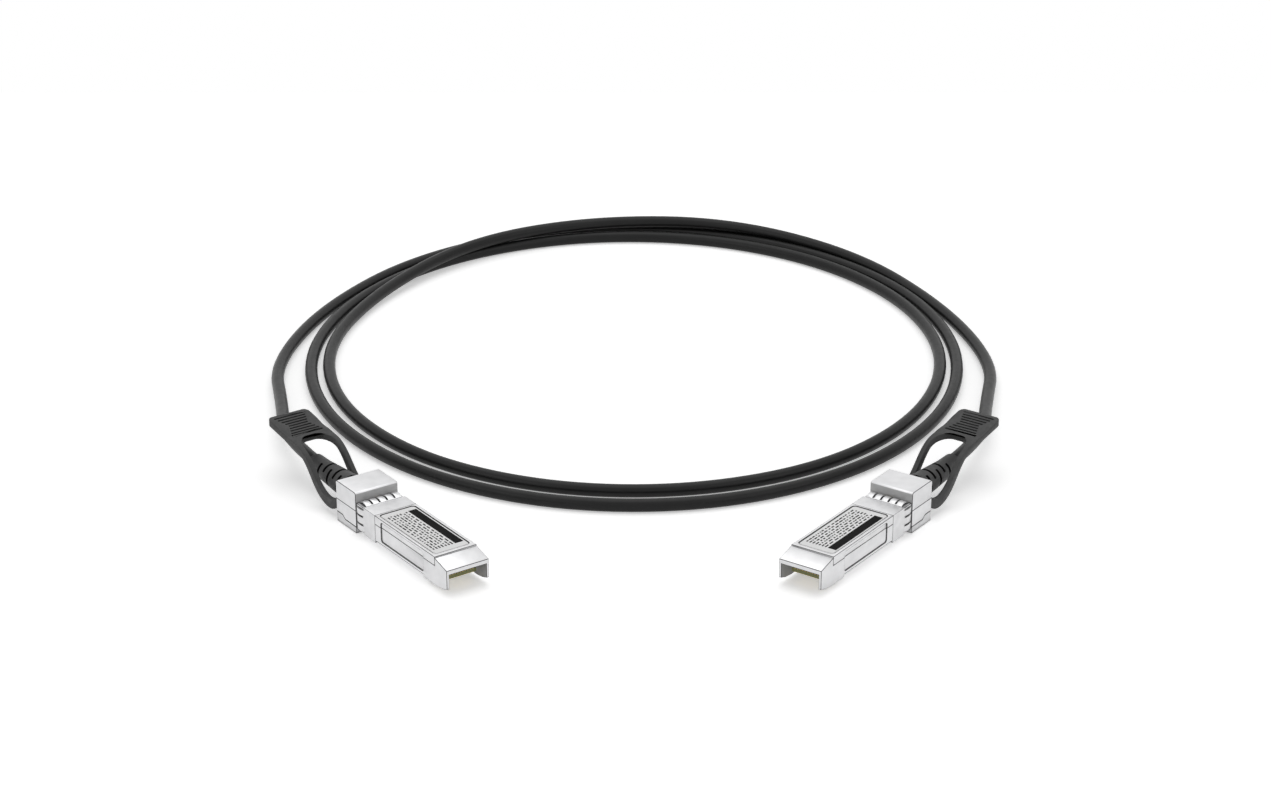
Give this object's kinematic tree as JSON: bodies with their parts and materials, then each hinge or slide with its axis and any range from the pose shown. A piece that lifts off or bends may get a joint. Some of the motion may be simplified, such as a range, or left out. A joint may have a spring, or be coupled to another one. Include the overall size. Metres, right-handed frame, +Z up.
{
  "type": "direct attach copper cable",
  "caption": "Coiled black copper network cable with a pluggable metal connector and pull-tab release at each end.",
  "frame": {"origin": "on the floor under the middle of the box round the two plugs, which lie side by side with their noses to the front", "axes": "+X from the left plug to the right plug, +Y from the noses back towards the coil, +Z up"},
  "size_m": [0.2274, 0.2813, 0.017],
  "materials": {
    "plated_casting": "satin nickel-plated die casting",
    "spring_steel": "satin stamped sheet",
    "label_film": "printed white film",
    "circuit_board": "solder mask over glass laminate",
    "gold_contacts": "gold plating",
    "chip_plastic": "moulded black",
    "wire_insulation": "foil-wrapped insulation",
    "cable_jacket": "black satin jacket",
    "crimp_brass": "crimped sleeve",
    "boot_plastic": "soft black moulding",
    "tab_plastic": "dark grey moulding",
    "plated_slide": "satin plated slide",
    "screw_steel": "plated screw"
  },
  "bodies": {
    "cable_assembly": {"left_base_shell": "plated_casting", "left_top_shell": "plated_casting", "left_emi_collar": "spring_steel", "left_label": "label_film", "left_paddle_card": "circuit_board", "left_edge_contacts": "gold_contacts", "left_board_parts": "chip_plastic", "left_signal_pairs": "wire_insulation", "left_jacket_end": "cable_jacket", "left_crimp_ferrule": "crimp_brass", "left_boot": "boot_plastic", "left_return_springs": "spring_steel", "left_shell_screw": "screw_steel", "right_base_shell": "plated_casting", "right_top_shell": "plated_casting", "right_emi_collar": "spring_steel", "right_label": "label_film", "right_paddle_card": "circuit_board", "right_edge_contacts": "gold_contacts", "right_board_parts": "chip_plastic", "right_signal_pairs": "wire_insulation", "right_jacket_end": "cable_jacket", "right_crimp_ferrule": "crimp_brass", "right_boot": "boot_plastic", "right_return_springs": "spring_steel", "right_shell_screw": "screw_steel", "cable": "cable_jacket"},
    "left_release": {"left_pull_tab": "tab_plastic", "left_release_slide": "plated_slide"},
    "right_release": {"right_pull_tab": "tab_plastic", "right_release_slide": "plated_slide"}
  },
  "joints": [
    {"name": "left_release_slide_joint", "type": "slide", "parent": "cable_assembly", "child": "left_release", "axis": [-0.5764, 0.8171, 0], "range_m": [0, 0.0025], "stiffness_N_per_m": 800, "springref_m": -0.0006, "deforming": ["left_return_springs"]},
    {"name": "right_release_slide_joint", "type": "slide", "parent": "cable_assembly", "child": "right_release", "axis": [0.5764, 0.8171, 0], "range_m": [0, 0.0025], "stiffness_N_per_m": 800, "springref_m": -0.0006, "deforming": ["right_return_springs"]}
  ]
}
